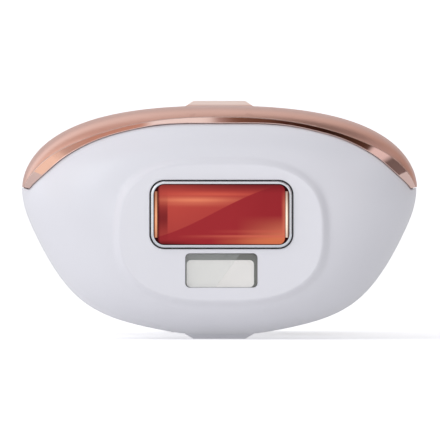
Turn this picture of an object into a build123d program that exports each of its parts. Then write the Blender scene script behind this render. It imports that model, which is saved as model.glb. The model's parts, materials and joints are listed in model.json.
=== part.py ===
from build123d import *

import os
from functools import lru_cache
from math import atan2, cos, degrees, hypot, pi, radians, sin, sqrt

# Hand-held IPL hair remover: a pull-off treatment head on a straight handle.
#
# Frame: millimetres, +Z up, -Y towards the skin, +X to the right of someone facing the window.
# The origin is the centre of the filter glass's front face. Every outer skin is described by
# polar radii around one axis line, parallel to Y at height AXIS_Z, with angles from straight up.

# ---------------------------------------------------------------- driving dimensions
AXIS_Z = -3.6  # height of the axis line that polar radii are measured from
FACE_Y = -0.5  # flat treatment face around the window
HEAD_REAR = 26.0  # back of the pull-off head
HANDLE_FRONT = 26.4
HANDLE_REAR = 157.0  # where the rear cap takes over
CAP_END = 167.0
REST_Z = -25.0  # table plane that the device stands on

GAP = 0.08  # assembly clearance between fixed pieces
SLIDE_GAP = 0.05  # clearance between moving pieces
THROUGH = 1.0  # how far a cutting tool runs past the piece it cuts
WALL = 2.5  # shell thickness of the head
HANDLE_WALL = 2.6
COVER = 1.4  # thickness of the satin covers laid into the shells
INNER_FACE = FACE_Y + WALL  # inside of the shell behind the treatment face

# White face: a raised oval round the window, a soft edge, then a dome back to the widest section.
OVAL_HALF_W, OVAL_HALF_H = 21.0, 14.5
RIM_DROP, RIM_REACH = 1.3, 0.9  # depth of the oval's soft edge, and how far its foot lies outside
DOME_DEPTH = 15.6
WIDEST_Y = FACE_Y + RIM_DROP + DOME_DEPTH

# Window.
WINDOW_W, WINDOW_H, WINDOW_CORNER = 28.1, 13.2, 2.7  # outside of the contact ring
RING_W, RING_PROUD = 0.5, 0.7  # its visible width, and how far it stands out of the face
RING_BACK = INNER_FACE + 2.2
EAR_X0, EAR_X1, EAR_HALF_H, EAR_T = 13.4, 17.5, 4.2, 1.0  # ears of the ring that the push rods stand on
GASKET_W = 0.25
GLASS_W, GLASS_H, GLASS_T, GLASS_CORNER = 25.3, 11.9, 2.5, 1.2  # corners clear those of the ring's opening
CLIP_X, CLIP_W, CLIP_H = 13.05, 0.76, 9.2  # end clips of the glass
GUIDE_W, GUIDE_H, GUIDE_CORNER, GUIDE_WALL = 26.9, 11.9, 2.0, 0.6  # mirror tube behind the glass
GUIDE_REAR = 20.3
ROD_X, ROD_R = 16.5, 0.9  # push rods between contact ring and switches
RING_SPRING_Z, RING_SPRING_R, RING_SPRING_WIRE = 3.0, 0.95, 0.28

# Skin sensor under the window.
SENSOR_Z = -11.15
SENSOR_W, SENSOR_H, SENSOR_CORNER = 14.4, 6.8, 0.9
TILE_W, TILE_H, TILE_CORNER = 13.4, 5.4, 0.85
TILE_LEFT, TILE_LOW = 0.2, 0.64  # how far the tile sits left of and below the middle of its pocket
CARRIER_W, CARRIER_H, CARRIER_Y1 = 17.0, 7.6, 3.4
SENSOR_BOARD_T = 1.0
CABLE_HALF_W, CABLE_Z, CABLE_T = 2.5, -14.3, 0.18

# Pull-off ridges above and below, seen from the front and from the side.
GRIP_BASE, GRIP_TIP = 13.8, 10.4
GRIP_TOP_Z = 22.9
GRIP_Y0, GRIP_SHOULDER_Y, GRIP_FLAT_Y, GRIP_Y1 = 17.2, 19.3, 19.9, 25.2
GRIP_ROOT = 0.9  # how far a ridge reaches into its skin

# Inside of the head.
FRAME_Y0, FRAME_Y1 = 8.0, 10.0
FRAME_W, FRAME_H, FRAME_CORNER = 43.0, 28.0, 5.0
FRAME_SCREWS = [(17.5, 8.2), (-17.5, 8.2), (17.5, -14.0), (-17.5, -14.0)]  # x, z
FRAME_BOSS_R, FRAME_SCREW_R = 2.2, 0.85
PLATE_Y0, PLATE_Y1 = 23.5, 25.9
MAGNETS = [(23, 6), (-23, 6), (19, -14), (-19, -14)]  # x, z
MAGNET_R = 2.5
CONTACT_Z = -15.0  # row of spring contacts between handle and head

# Handle front: the nose that carries the head, and the light engine.
NOSE_W, NOSE_H, NOSE_Y0 = 29.0, 14.6, 20.5
EXIT_W, EXIT_H, EXIT_Y0, EXIT_Y1 = 26.5, 11.5, 20.7, 23.15  # clear pane in the nose
BULKHEAD_Y1 = 29.0
PIN_PITCH, PIN_COUNT = 2.4, 5
PIN_XS = [PIN_PITCH * (i - (PIN_COUNT - 1) / 2) for i in range(PIN_COUNT)]
LAMP_Y, LAMP_R, LAMP_HALF_L, LAMP_WALL = 37.0, 2.7, 17.4, 0.9
HOLDER_X0, HOLDER_X1 = 13.6, 16.4
SWITCH_X1, SWITCH_Y1, SWITCH_HALF_H = 19.4, 33.0, 3.2  # contact switches

# Handle middle: cooling, power and controls.
SINK_W, SINK_H, SINK_Y0, SINK_BASE_Y, SINK_Y1, FIN_COUNT, FIN_T = 35.0, 21.0, 43.4, 45.2, 50.9, 11, 1.0
FAN_Y0, FAN_Y1, FAN_SIZE = 51.5, 59.5, 30.0
FAN_BORE_R, FAN_HUB_R, BLADE_COUNT, BLADE_PITCH = 14.2, 6.2, 7, 35.0
CAP_X, CAP_Z, CAP_R, CAP_Y0, CAP_Y1 = -9.0, -4.0, 11.5, 70.0, 118.0  # flash capacitor
BOARD_X, BOARD_T = 8.6, 1.6  # main board, standing on edge along the handle
WIRE_R = 0.6
UI_TOP, UI_T, UI_HALF_W, UI_Y0, UI_Y1 = 10.6, 1.2, 11.5, 62.0, 112.0  # control board
FLASH_Y, FLASH_L, FLASH_W, FLASH_PROUD, FLASH_FLOOR = 73.0, 21.0, 12.0, 0.7, 13.6
FLASH_SPRING_YS = (FLASH_Y - 7, FLASH_Y + 7)
FLASH_SPRING_R, FLASH_SPRING_WIRE = 1.35, 0.3
POWER_Y, POWER_R, POWER_PROUD, POWER_FLOOR = 100.0, 4.6, 0.45, 12.3
BUTTON_GAP = 0.15
LED_Y, LED_PITCH, LED_R, LED_COUNT = 90.0, 3.3, 0.75, 5
LED_XS = [LED_PITCH * (i - (LED_COUNT - 1) / 2) for i in range(LED_COUNT)]

# Handle shells and rear.
SPLIT_Z, SPLIT_SLOPE = 5.6, -0.0621  # parting line at the handle's front, and its slope
SHELL_SCREWS = [  # x, y, height of the seat under the screw's head, roof of the boss
    (17.0, 65.5, -17.2, 12.5),
    (-17.0, 65.5, -17.2, 12.5),
    (12.5, 146.0, -19.6, 8.0),
    (-12.5, 146.0, -19.6, 8.0),
]
BOSS_R, SCREW_R, SCREW_HEAD_R, SCREW_HEAD_T, SCREW_L = 2.9, 1.0, 1.8, 1.3, 22.5
VENT_Y, VENT_PITCH, VENT_COUNT, VENT_HALF_W = 42.0, 3.2, 6, 0.7
VENT_YS = [VENT_Y + VENT_PITCH * i for i in range(VENT_COUNT)]
VENT_Z0, VENT_Z1 = -12.0, -4.0
SCREEN_START, SCREEN_END, SCREEN_T = 93.0, 121.0, 0.4  # polar angles of the dust screens
PAD_MID, PAD_HALF, PAD_Y0, PAD_Y1, PAD_T = 120.0, 20.0, 76.0, 136.0, 0.9  # soft side pads
PAD_PROUD = 0.25  # how far they stand out of the skin
SOCKET_Z, SOCKET_R, SOCKET_DEPTH = -4.0, 5.2, 4.0
SOCKET_BODY_R, SOCKET_CAVITY_R, PIN_R = 4.4, 2.8, 1.0
SOCKET_Y0, SOCKET_FLOOR = 148.5, 151.0
REAR_SLOT_XS, REAR_SLOT_HALF_W, REAR_SLOT_Z0, REAR_SLOT_Z1 = (8.8, 10.6, 12.4), 0.5, -9.0, 1.0
FOOT_Y, FOOT_W, FOOT_L, FOOT_CORNER, FOOT_TOP_Z = 140.0, 16.0, 9.0, 3.5, -21.7

# Half outlines as (x, z), from the top round to the bottom.
HEAD_OUTLINE = [
    (0, 21.9), (12, 21.45), (24, 19.5), (32, 16.3), (37.2, 11.9), (39.6, 6.2), (38.75, 0.5),
    (35.7, -6.4), (32.1, -12.4), (27.2, -17.6), (20, -21.2), (10, -23.5), (0, -24.1),
]
HALF_W = HEAD_OUTLINE[5][0]
TRIM_INNER = [
    (0, 18.2), (14, 17.7), (20, 16.4), (24, 15.2), (28, 13.4), (32, 10.9), (36, 7.4), (38.2, 5.2), (39.4, 2),
]
TRIM_OUTER = [
    (0, 19.45), (12, 18.85), (19, 17.6), (24, 16.2), (29.7, 14.0), (35.1, 10.9), (39.1, 5.9), (40, 2),
]
TRIM_DEPTHS = [  # polar angle, depth of the trim's front edge
    (0, 5.15), (25, 5.45), (42, 5.52), (56, 5.85), (65, 6.6), (72, 8.1), (77, 10.8),
]
COVER_HALF_ANGLES = [0, 18, 31, 42, 51, 59, 66, 71, 75, 77]
COVER_ANGLES = [-a for a in COVER_HALF_ANGLES[:0:-1]] + COVER_HALF_ANGLES

# Handle sections: depth y, half width, top, bottom, share of plain oval in the shape.
HANDLE = [
    (26.4, 39.35, 21.65, -23.85, 0.00),
    (33.0, 38.30, 21.75, -23.60, 0.15),
    (41.0, 35.20, 21.60, -22.90, 0.42),
    (50.0, 31.60, 21.20, -21.90, 0.72),
    (60.0, 28.40, 20.50, -20.90, 0.92),
    (72.0, 26.00, 19.50, -20.10, 1.00),
    (86.0, 24.60, 18.20, -19.90, 1.00),
    (102.0, 24.00, 16.80, -20.40, 1.00),
    (118.0, 24.00, 15.40, -21.50, 1.00),
    (134.0, 23.80, 13.90, -22.60, 1.00),
    (148.0, 22.60, 12.20, -22.70, 1.00),
    (157.0, 21.00, 10.80, -21.90, 1.00),
]
OVAL_POWER = 2.35  # 2 is an ellipse, higher is squarer
SPINE = [  # depth, half angle of the satin spine along the top of the handle
    (26.4, 77), (29, 73.5), (33, 67.5), (38, 60), (44, 51.5), (51, 43), (59, 36.5), (68, 32.5),
    (78, 31), (90, 30.5), (101, 30), (107, 28), (111, 24), (113.6, 19), (115.4, 13), (116.2, 8),
]
SAMPLES = 40  # spline points round a full section


# ---------------------------------------------------------------- skins
def sampled(points, tangents, steps=240):
    """Many (x, y) pairs along a spline through a few points."""
    curve = Spline(*points, tangents=tangents)
    return [(p.X, p.Y) for p in (curve @ (i / steps) for i in range(steps + 1))]


def lookup(pairs):
    """Function of an angle in degrees, the same on both sides of straight up."""
    def value(angle):
        a = abs((angle + 180) % 360 - 180)
        for (a0, v0), (a1, v1) in zip(pairs, pairs[1:]):
            if a <= a1:
                return v0 + (v1 - v0) * (a - a0) / (a1 - a0)
        return pairs[-1][1]

    return value


def polar_radius(half_outline, end_tangent):
    """Radius about the axis line as a function of the angle from straight up."""
    points = sampled(half_outline, [(1, 0), end_tangent])
    return lookup([(degrees(atan2(x, z - AXIS_Z)), hypot(x, z - AXIS_Z)) for x, z in points])


outline_radius = polar_radius(HEAD_OUTLINE, (-1, 0))
trim_inner_radius = polar_radius(TRIM_INNER, (0.35, -1))
trim_outer_radius = polar_radius(TRIM_OUTER, (0.2, -1))
trim_depth = lookup(sampled(TRIM_DEPTHS, [(1, 0), (1, 0.65)]))


def superellipse_radius(angle, half_w, top, bottom, power):
    """Radius of an oval whose upper and lower halves reach top and bottom above and below the axis."""
    s, c = abs(sin(radians(angle))), cos(radians(angle))
    half_h = top if c > 0 else bottom
    return ((s / half_w) ** power + (abs(c) / half_h) ** power) ** (-1 / power)


def oval_radius(angle):
    """The raised oval round the window: squarer above the axis than below it."""
    power = 2.75 + 0.2 * cos(radians(angle))
    return superellipse_radius(angle, OVAL_HALF_W, OVAL_HALF_H, OVAL_HALF_H, power)


def dome_depth(share):
    """Depth of the white face outside the oval: a quarter arc added to a straight slope."""
    slope = 0.2
    arc = 1 - sqrt(max(0.0, 1 - share * share))
    return FACE_Y + RIM_DROP + DOME_DEPTH * (slope * share + (1 - slope) * arc)


def dome_radius(angle, share):
    """Radius that belongs to dome_depth(share), between the oval's foot and the outline."""
    start = oval_radius(angle) + RIM_REACH
    return start + share * (outline_radius(angle) - start)


def row_at(depth):
    """Handle row at any depth, by cubic interpolation between the stations."""
    rows = [HANDLE[0]] + HANDLE + [HANDLE[-1]]
    i = next((k for k in range(1, len(HANDLE)) if HANDLE[k][0] >= depth), len(HANDLE) - 1)
    before, low, high, after = rows[i - 1], rows[i], rows[i + 1], rows[i + 2]
    t = (depth - low[0]) / (high[0] - low[0])
    weights = 2 * t**3 - 3 * t**2 + 1, t**3 - 2 * t**2 + t, 3 * t**2 - 2 * t**3, t**3 - t**2
    row = []
    for a, b, c, d in zip(before, low, high, after):
        terms = b, (c - a) / 2, c, (d - b) / 2
        row.append(sum(weight * term for weight, term in zip(weights, terms)))
    return row


def handle_radius(angle, depth):
    """The handle's outer radius: the head's shape in front, blending into a plain oval."""
    _, half_w, top, bottom, oval = row_at(depth)
    plain = superellipse_radius(angle, half_w, top - AXIS_Z, AXIS_Z - bottom, OVAL_POWER)
    shaped = outline_radius(angle) * half_w / HALF_W
    return shaped + oval * (plain - shaped)


def skin_point(angle, radius):
    """(x, z) of a point at a polar angle and radius."""
    return radius * sin(radians(angle)), AXIS_Z + radius * cos(radians(angle))


def even_spline(points, periodic=False):
    """Spline with evenly spaced parameters, so that lofts through several stay smooth."""
    steps = len(points) if periodic else len(points) - 1
    return Edge.make_spline(
        [Vector(*p) for p in points], periodic=periodic, parameters=[i / steps for i in range(steps + 1)]
    )


def ring_of(radius_at):
    """Closed curve at the radius that radius_at gives for each angle."""
    angles = [360 * i / SAMPLES for i in range(SAMPLES)]
    return even_spline([skin_point(a, radius_at(a)) for a in angles], periodic=True)


def front_plane(depth):
    """Sketch plane facing the skin; its local axes are X and Z."""
    return Plane.XZ.offset(-depth)


def lofted(sections):
    """Solid through closed sections, each given as (depth, radius function of the angle)."""
    with BuildPart() as body:
        for depth, radius_at in sections:
            with BuildSketch(front_plane(depth)):
                with BuildLine():
                    add(ring_of(radius_at))
                make_face()
        loft()
    return body.part


def head_skin(inset=0.0, rear=HEAD_REAR):
    """The white head as one solid, or its inside if it is inset."""
    front = FACE_Y + inset
    reach_and_drop = [(-1.0, 0.0), (-0.74, 0.06), (-0.45, 0.23), (-0.12, 0.54), (0.2, 0.87), (0.54, 1.13)]
    sections = [
        (front + drop, lambda a, r=reach: oval_radius(a) + r - inset * 0.9) for reach, drop in reach_and_drop
    ]
    for share in (0.03, 0.09, 0.18, 0.3, 0.44, 0.58, 0.71, 0.82, 0.91, 0.97, 1.0):
        depth = dome_depth(share) + inset * (1 - share)
        sections.append((depth, lambda a, s=share: dome_radius(a, s) - inset))
    for depth in (17.4, 19.2, 21.4, 23.7, rear):
        sections.append((depth, lambda a: outline_radius(a) - inset))
    return lofted(sections)


@lru_cache
def handle_skin(inset=0.0, front=HANDLE_FRONT, rear=HANDLE_REAR):
    """The handle as one solid; a negative inset swells it."""
    def section(depth):
        on_handle = max(HANDLE_FRONT, min(depth, HANDLE_REAR))
        return depth, lambda a: handle_radius(a, on_handle) - inset

    depths = [front] + [row[0] for row in HANDLE if front < row[0] < rear] + [rear]
    return lofted([section(depth) for depth in depths])


def patch(stations, outer, inner, steps=12):
    """A curved plate between two depths under the handle's skin. stations: (depth, from, to angle)."""
    with BuildPart() as plate:
        for depth, start, end in stations:
            angles = [start + (end - start) * i / steps for i in range(steps + 1)]
            top = [skin_point(a, handle_radius(a, depth) - outer) for a in angles]
            low = [skin_point(a, handle_radius(a, depth) - inner) for a in angles]
            with BuildSketch(front_plane(depth)):
                with BuildLine():
                    add(even_spline(top))
                    Line(top[-1], low[-1])
                    add(even_spline(low[::-1]))
                    Line(low[0], top[0])
                make_face()
        loft()
    return plate.part


# ---------------------------------------------------------------- plain shapes
def finish(piece, name):
    """Labels a finished piece and writes its STEP file."""
    piece.part.label = name
    export_step(piece.part, f"parts/{name}.step")


def group(name, parts):
    """Writes several separate solids as one node."""
    with BuildPart() as many:
        for part in parts:
            add(part)
    finish(many, name)


def box_between(x, y, z):
    """A plain block given by its low and high limit on each axis."""
    with BuildPart(Location(((x[0] + x[1]) / 2, (y[0] + y[1]) / 2, (z[0] + z[1]) / 2))) as block:
        Box(x[1] - x[0], y[1] - y[0], z[1] - z[0])
    return block.part


def rounded_bar(width, height, corner, start, end, centre=(0, 0)):
    """A rounded rectangle in X and Z, extruded from depth start to depth end."""
    with BuildPart() as bar:
        with BuildSketch(front_plane(start)):
            with Locations(centre):
                RectangleRounded(width, height, corner)
        extrude(amount=-(end - start))
    return bar.part


def rod(radius, start, end, centre=(0, 0)):
    """A round rod along Y from depth start to depth end."""
    with BuildPart() as bar:
        with BuildSketch(front_plane(start)):
            with Locations(centre):
                Circle(radius)
        extrude(amount=-(end - start))
    return bar.part


def post(radius, low, high, centre):
    """A round rod along Z at (x, y)."""
    with BuildPart() as bar:
        with BuildSketch(Plane.XY.offset(low)):
            with Locations(centre):
                Circle(radius)
        extrude(amount=high - low)
    return bar.part


def cross_rod(radius, start, end, centre):
    """A round rod along X from start to end, at (y, z)."""
    with BuildPart() as bar:
        with BuildSketch(Plane.YZ.offset(start)):
            with Locations(centre):
                Circle(radius)
        extrude(amount=end - start)
    return bar.part


def coil(radius, wire, length, turns, origin, direction):
    """A helical compression spring of the given overall length."""
    rise = length - wire
    path = Helix(pitch=rise / turns, height=rise, radius=radius, direction=direction)
    path = path.moved(Location(Vector(*origin) + Vector(*direction) * (wire / 2)))
    with BuildPart() as spring:
        with BuildSketch(Plane(origin=path @ 0, z_dir=path % 0)):
            Circle(wire / 2)
        sweep(path=path)
    return spring.part


def mirrored_limits(side, near, far):
    """Low and high X of a block that lies between near and far on one side."""
    return sorted((side * near, side * far))


# ---------------------------------------------------------------- head: skins and trim
def radial_plane(angle):
    """Plane through the axis line; its local axes are the radius and depth."""
    a = radians(angle)
    return Plane(origin=(0, 0, AXIS_Z), x_dir=(sin(a), 0, cos(a)), z_dir=(-cos(a), 0, sin(a)))


def cover_points(angle, swell=0.0):
    """Corner points of trim and cover in (radius, depth) at one polar angle."""
    r_max = outline_radius(angle)
    r_in = trim_inner_radius(angle)
    r_out = min(trim_outer_radius(angle), r_max - 0.25)
    y_in = trim_depth(angle)
    bevel_slope, lip, root_depth = 0.55, 0.14, 1.5
    return {
        "front": (r_in - swell, y_in - 2 * swell),
        "front_lip": (r_in + lip, y_in - 0.1),
        "ridge": (r_out, y_in + bevel_slope * (r_out - r_in)),
        "root": (r_in - 0.1 - swell, y_in + root_depth + swell),
        "widest": (r_max, WIDEST_Y),
        "widest_low": (r_max - COVER - swell, WIDEST_Y + 0.5),
        "rear": (r_max, HEAD_REAR),
        "rear_low": (r_max - COVER - swell, HEAD_REAR),
    }


def between(start, end, share):
    """The point a share of the way from start to end."""
    return start[0] + (end[0] - start[0]) * share, start[1] + (end[1] - start[1]) * share


def round_over(start, end):
    """Control points of a round that leaves start outwards and reaches end running straight back."""
    rise, run = end[0] - start[0], end[1] - start[1]
    return start, (start[0] + 0.8 * rise, start[1] + 0.16 * run), (end[0], end[1] - 0.6 * run), end


def build_grip(skin_z, tip_z):
    """Pull-off ridge: a trapezoid from the front, a ramp from the side."""
    away = 1 if tip_z > 0 else -1
    base, tip = GRIP_BASE / 2, GRIP_TIP / 2
    root_z = skin_z - away * GRIP_ROOT
    with BuildPart() as grip:
        with BuildSketch(front_plane(GRIP_Y0 - 0.2)):
            with BuildLine():
                Polyline(
                    (-base, root_z), (-base, skin_z), (-tip, tip_z),
                    (tip, tip_z), (base, skin_z), (base, root_z), close=True,
                )
            make_face()
        extrude(amount=-(GRIP_Y1 + 0.4 - GRIP_Y0))
        with BuildSketch(Plane.YZ.offset(-GRIP_BASE), mode=Mode.PRIVATE) as side:
            with BuildLine():
                Polyline(
                    (GRIP_Y0, root_z), (GRIP_SHOULDER_Y, tip_z - away * 0.15), (GRIP_FLAT_Y, tip_z),
                    (GRIP_Y1, tip_z), (GRIP_Y1, root_z), (GRIP_Y0, root_z),
                )
            make_face()
        extrude(side.sketch, amount=2 * GRIP_BASE, mode=Mode.INTERSECT)
    return grip.part


def build_bevel_trim():
    """Polished bevel that frames the white face; it ends in a blunt tip on each side."""
    with BuildPart() as trim:
        for angle in COVER_ANGLES:
            p = cover_points(angle)
            low = between(p["root"], p["widest_low"], 0.10)
            with BuildSketch(radial_plane(angle)):
                with BuildLine():
                    Polyline(p["front"], p["front_lip"], p["ridge"], low, p["root"], close=True)
                make_face()
        loft()
    finish(trim, "bevel_trim")


def build_head_cover():
    """Satin cover from the bevel back to the rear of the head, with the upper pull-off ridge."""
    with BuildPart() as cover:
        for angle in COVER_ANGLES:
            p = cover_points(angle)
            start = (p["ridge"][0] + 0.04, p["ridge"][1] + 0.06)
            low = between(p["root"], p["widest_low"], 0.16)
            with BuildSketch(radial_plane(angle)):
                with BuildLine():
                    Bezier(*round_over(start, p["widest"]))
                    Polyline(p["widest"], p["rear"], p["rear_low"], p["widest_low"], low, start)
                make_face()
        loft()
        add(build_grip(HEAD_OUTLINE[0][1] - 0.15, GRIP_TOP_Z))
    finish(cover, "head_cover")


def build_cover_pocket():
    """What the trim and cover need cut out of the white shell."""
    past_end, beyond = 0.3, 3.0
    with BuildPart() as pocket:
        for angle in [COVER_ANGLES[0] - past_end] + COVER_ANGLES[1:-1] + [COVER_ANGLES[-1] + past_end]:
            p = cover_points(angle, swell=GAP)
            over = p["rear"][0] + beyond
            rear_low = (p["rear_low"][0], HEAD_REAR + THROUGH)
            with BuildSketch(radial_plane(angle)):
                with BuildLine():
                    Polyline(
                        p["front"], (over, p["front"][1] - 0.5), (over, HEAD_REAR + THROUGH), rear_low,
                        p["widest_low"], p["root"], close=True,
                    )
                make_face()
        loft()
    return pocket.part


def window_opening(start, end):
    """The hole for gasket and contact ring, as a block between two depths."""
    grow = 2 * (GASKET_W + SLIDE_GAP)
    return rounded_bar(WINDOW_W + grow, WINDOW_H + grow, WINDOW_CORNER + GASKET_W, start, end)


def build_head_shell():
    """White shell of the pull-off head, with its openings and the screw bosses of the inner frame."""
    with BuildPart() as shell:
        add(head_skin())
        add(build_grip(HEAD_OUTLINE[-1][1] + 0.1, REST_Z))
        add(head_skin(inset=WALL, rear=HEAD_REAR + 0.5), mode=Mode.SUBTRACT)
        for spot in FRAME_SCREWS:
            add(rod(FRAME_BOSS_R, INNER_FACE + 1.0, FRAME_Y0 - GAP, spot))
            add(rod(FRAME_SCREW_R + SLIDE_GAP, INNER_FACE + 2.0, FRAME_Y0, spot), mode=Mode.SUBTRACT)
        add(build_cover_pocket(), mode=Mode.SUBTRACT)
        front, back = FACE_Y - THROUGH, INNER_FACE + THROUGH
        add(window_opening(front, back), mode=Mode.SUBTRACT)
        add(rounded_bar(SENSOR_W, SENSOR_H, SENSOR_CORNER, front, back, (0, SENSOR_Z)), mode=Mode.SUBTRACT)
    finish(shell, "head_shell")


# ---------------------------------------------------------------- head: window
def build_contact_ring():
    """Ring that lies on the skin, with an ear on each side for the push rods."""
    with BuildPart() as ring:
        add(rounded_bar(WINDOW_W, WINDOW_H, WINDOW_CORNER, FACE_Y - RING_PROUD, RING_BACK))
        fillet(ring.faces().sort_by(Axis.Y)[0].edges(), radius=0.28)
        for side in (-1, 1):
            x = mirrored_limits(side, EAR_X0, EAR_X1)
            add(box_between(x, (RING_BACK - EAR_T, RING_BACK), (-EAR_HALF_H, EAR_HALF_H)))
        inner_w, inner_h = WINDOW_W - 2 * RING_W, WINDOW_H - 2 * RING_W
        inside = rounded_bar(inner_w, inner_h, WINDOW_CORNER - RING_W, FACE_Y - 2, RING_BACK + THROUGH)
        add(inside, mode=Mode.SUBTRACT)
    finish(ring, "contact_ring")


def build_window():
    """Gasket round the ring, red filter glass, its end clips and the mirror tube behind it."""
    with BuildPart() as gasket:
        add(window_opening(FACE_Y + 0.05, INNER_FACE - 0.1))
        inner_w, inner_h = WINDOW_W + 2 * SLIDE_GAP, WINDOW_H + 2 * SLIDE_GAP
        corner = WINDOW_CORNER + SLIDE_GAP
        add(rounded_bar(inner_w, inner_h, corner, FACE_Y - THROUGH, INNER_FACE + THROUGH), mode=Mode.SUBTRACT)
    finish(gasket, "ring_gasket")

    with BuildPart() as glass:
        add(rounded_bar(GLASS_W, GLASS_H, GLASS_CORNER, 0, GLASS_T))
    finish(glass, "filter_glass")

    clip_back = GLASS_T - 0.1
    with BuildPart() as clips:
        for side in (-1, 1):
            with BuildSketch(Plane.XY.offset(-CLIP_H / 2)):
                with Locations((side * CLIP_X, clip_back / 2)):
                    Rectangle(CLIP_W, clip_back)
            extrude(amount=CLIP_H)
        fillet(clips.edges().filter_by(Axis.Z).group_by(Axis.Y)[0], radius=0.34)
    finish(clips, "glass_clips")

    bore_w, bore_h = GUIDE_W - 2 * GUIDE_WALL, GUIDE_H - 2 * GUIDE_WALL
    with BuildPart() as guide:
        add(rounded_bar(GUIDE_W, GUIDE_H, GUIDE_CORNER, GLASS_T + GAP, GUIDE_REAR))
        bore = rounded_bar(bore_w, bore_h, GUIDE_CORNER - GUIDE_WALL, GLASS_T - THROUGH, GUIDE_REAR + THROUGH)
        add(bore, mode=Mode.SUBTRACT)
    finish(guide, "light_guide")

    group("push_rods", [rod(ROD_R, RING_BACK, PLATE_Y1 + 0.05, (x, 0)) for x in (-ROD_X, ROD_X)])

    spring_y, spring_l, spring_turns = RING_BACK + 0.03, FRAME_Y0 - RING_BACK - 0.06, 5
    springs = [
        coil(RING_SPRING_R, RING_SPRING_WIRE, spring_l, spring_turns, (x, spring_y, z), (0, 1, 0))
        for x in (-ROD_X, ROD_X) for z in (-RING_SPRING_Z, RING_SPRING_Z)
    ]
    group("ring_springs", springs)


# ---------------------------------------------------------------- head: skin sensor and inner frame
def build_sensor():
    """Clear pane, pale target tile, its carrier and the board behind."""
    pane_y0, pane_y1 = FACE_Y + 0.12, FACE_Y + 0.9
    with BuildPart() as pane:
        add(rounded_bar(SENSOR_W - GAP, SENSOR_H - GAP, SENSOR_CORNER, pane_y0, pane_y1, (0, SENSOR_Z)))
    finish(pane, "sensor_window")

    # The tile sits low and to the left in its pocket, which leaves a dark strip above and at the right.
    tile_spot = (-TILE_LEFT, SENSOR_Z - TILE_LOW)
    tile_y0, tile_y1 = pane_y1 + 0.05, FACE_Y + 1.6
    with BuildPart() as tile:
        add(rounded_bar(TILE_W, TILE_H, TILE_CORNER, tile_y0, tile_y1, tile_spot))
    finish(tile, "sensor_tile")

    with BuildPart() as carrier:
        neck_w, neck_h = SENSOR_W - 2 * GAP, SENSOR_H - 2 * GAP
        add(rounded_bar(neck_w, neck_h, SENSOR_CORNER, pane_y1 + 0.2, CARRIER_Y1, (0, SENSOR_Z)))
        add(rounded_bar(CARRIER_W, CARRIER_H, 0.8, INNER_FACE + 0.25, CARRIER_Y1, (0, SENSOR_Z - 0.1)))
        seat = rounded_bar(TILE_W + 0.02, TILE_H + 0.02, TILE_CORNER, FACE_Y, tile_y1, tile_spot)
        add(seat, mode=Mode.SUBTRACT)
    finish(carrier, "sensor_carrier")

    board_y0 = CARRIER_Y1 + 0.05
    board_y1 = board_y0 + SENSOR_BOARD_T
    with BuildPart() as board:
        add(rounded_bar(CARRIER_W - 1, CARRIER_H - 0.6, 0.4, board_y0, board_y1, (0, SENSOR_Z)))
    finish(board, "sensor_board")

    with BuildPart() as chips:
        add(box_between((-3.0, 3.0), (board_y1, board_y1 + 0.9), (SENSOR_Z - 2, SENSOR_Z + 2)))
        add(box_between((4.6, 6.4), (board_y1, board_y1 + 0.7), (SENSOR_Z - 1, SENSOR_Z + 1)))
    finish(chips, "sensor_chips")

    contact_board_y0 = 22.6
    with BuildPart() as cable:
        run = (board_y1 + 0.01, contact_board_y0 - 0.05)
        add(box_between((-CABLE_HALF_W, CABLE_HALF_W), run, (CABLE_Z, CABLE_Z + CABLE_T)))
    finish(cable, "sensor_cable")

    with BuildPart() as contacts:
        add(rounded_bar(15.0, 5.0, 0.4, contact_board_y0, contact_board_y0 + 0.8, (0, CONTACT_Z)))
    finish(contacts, "contact_board")


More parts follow.
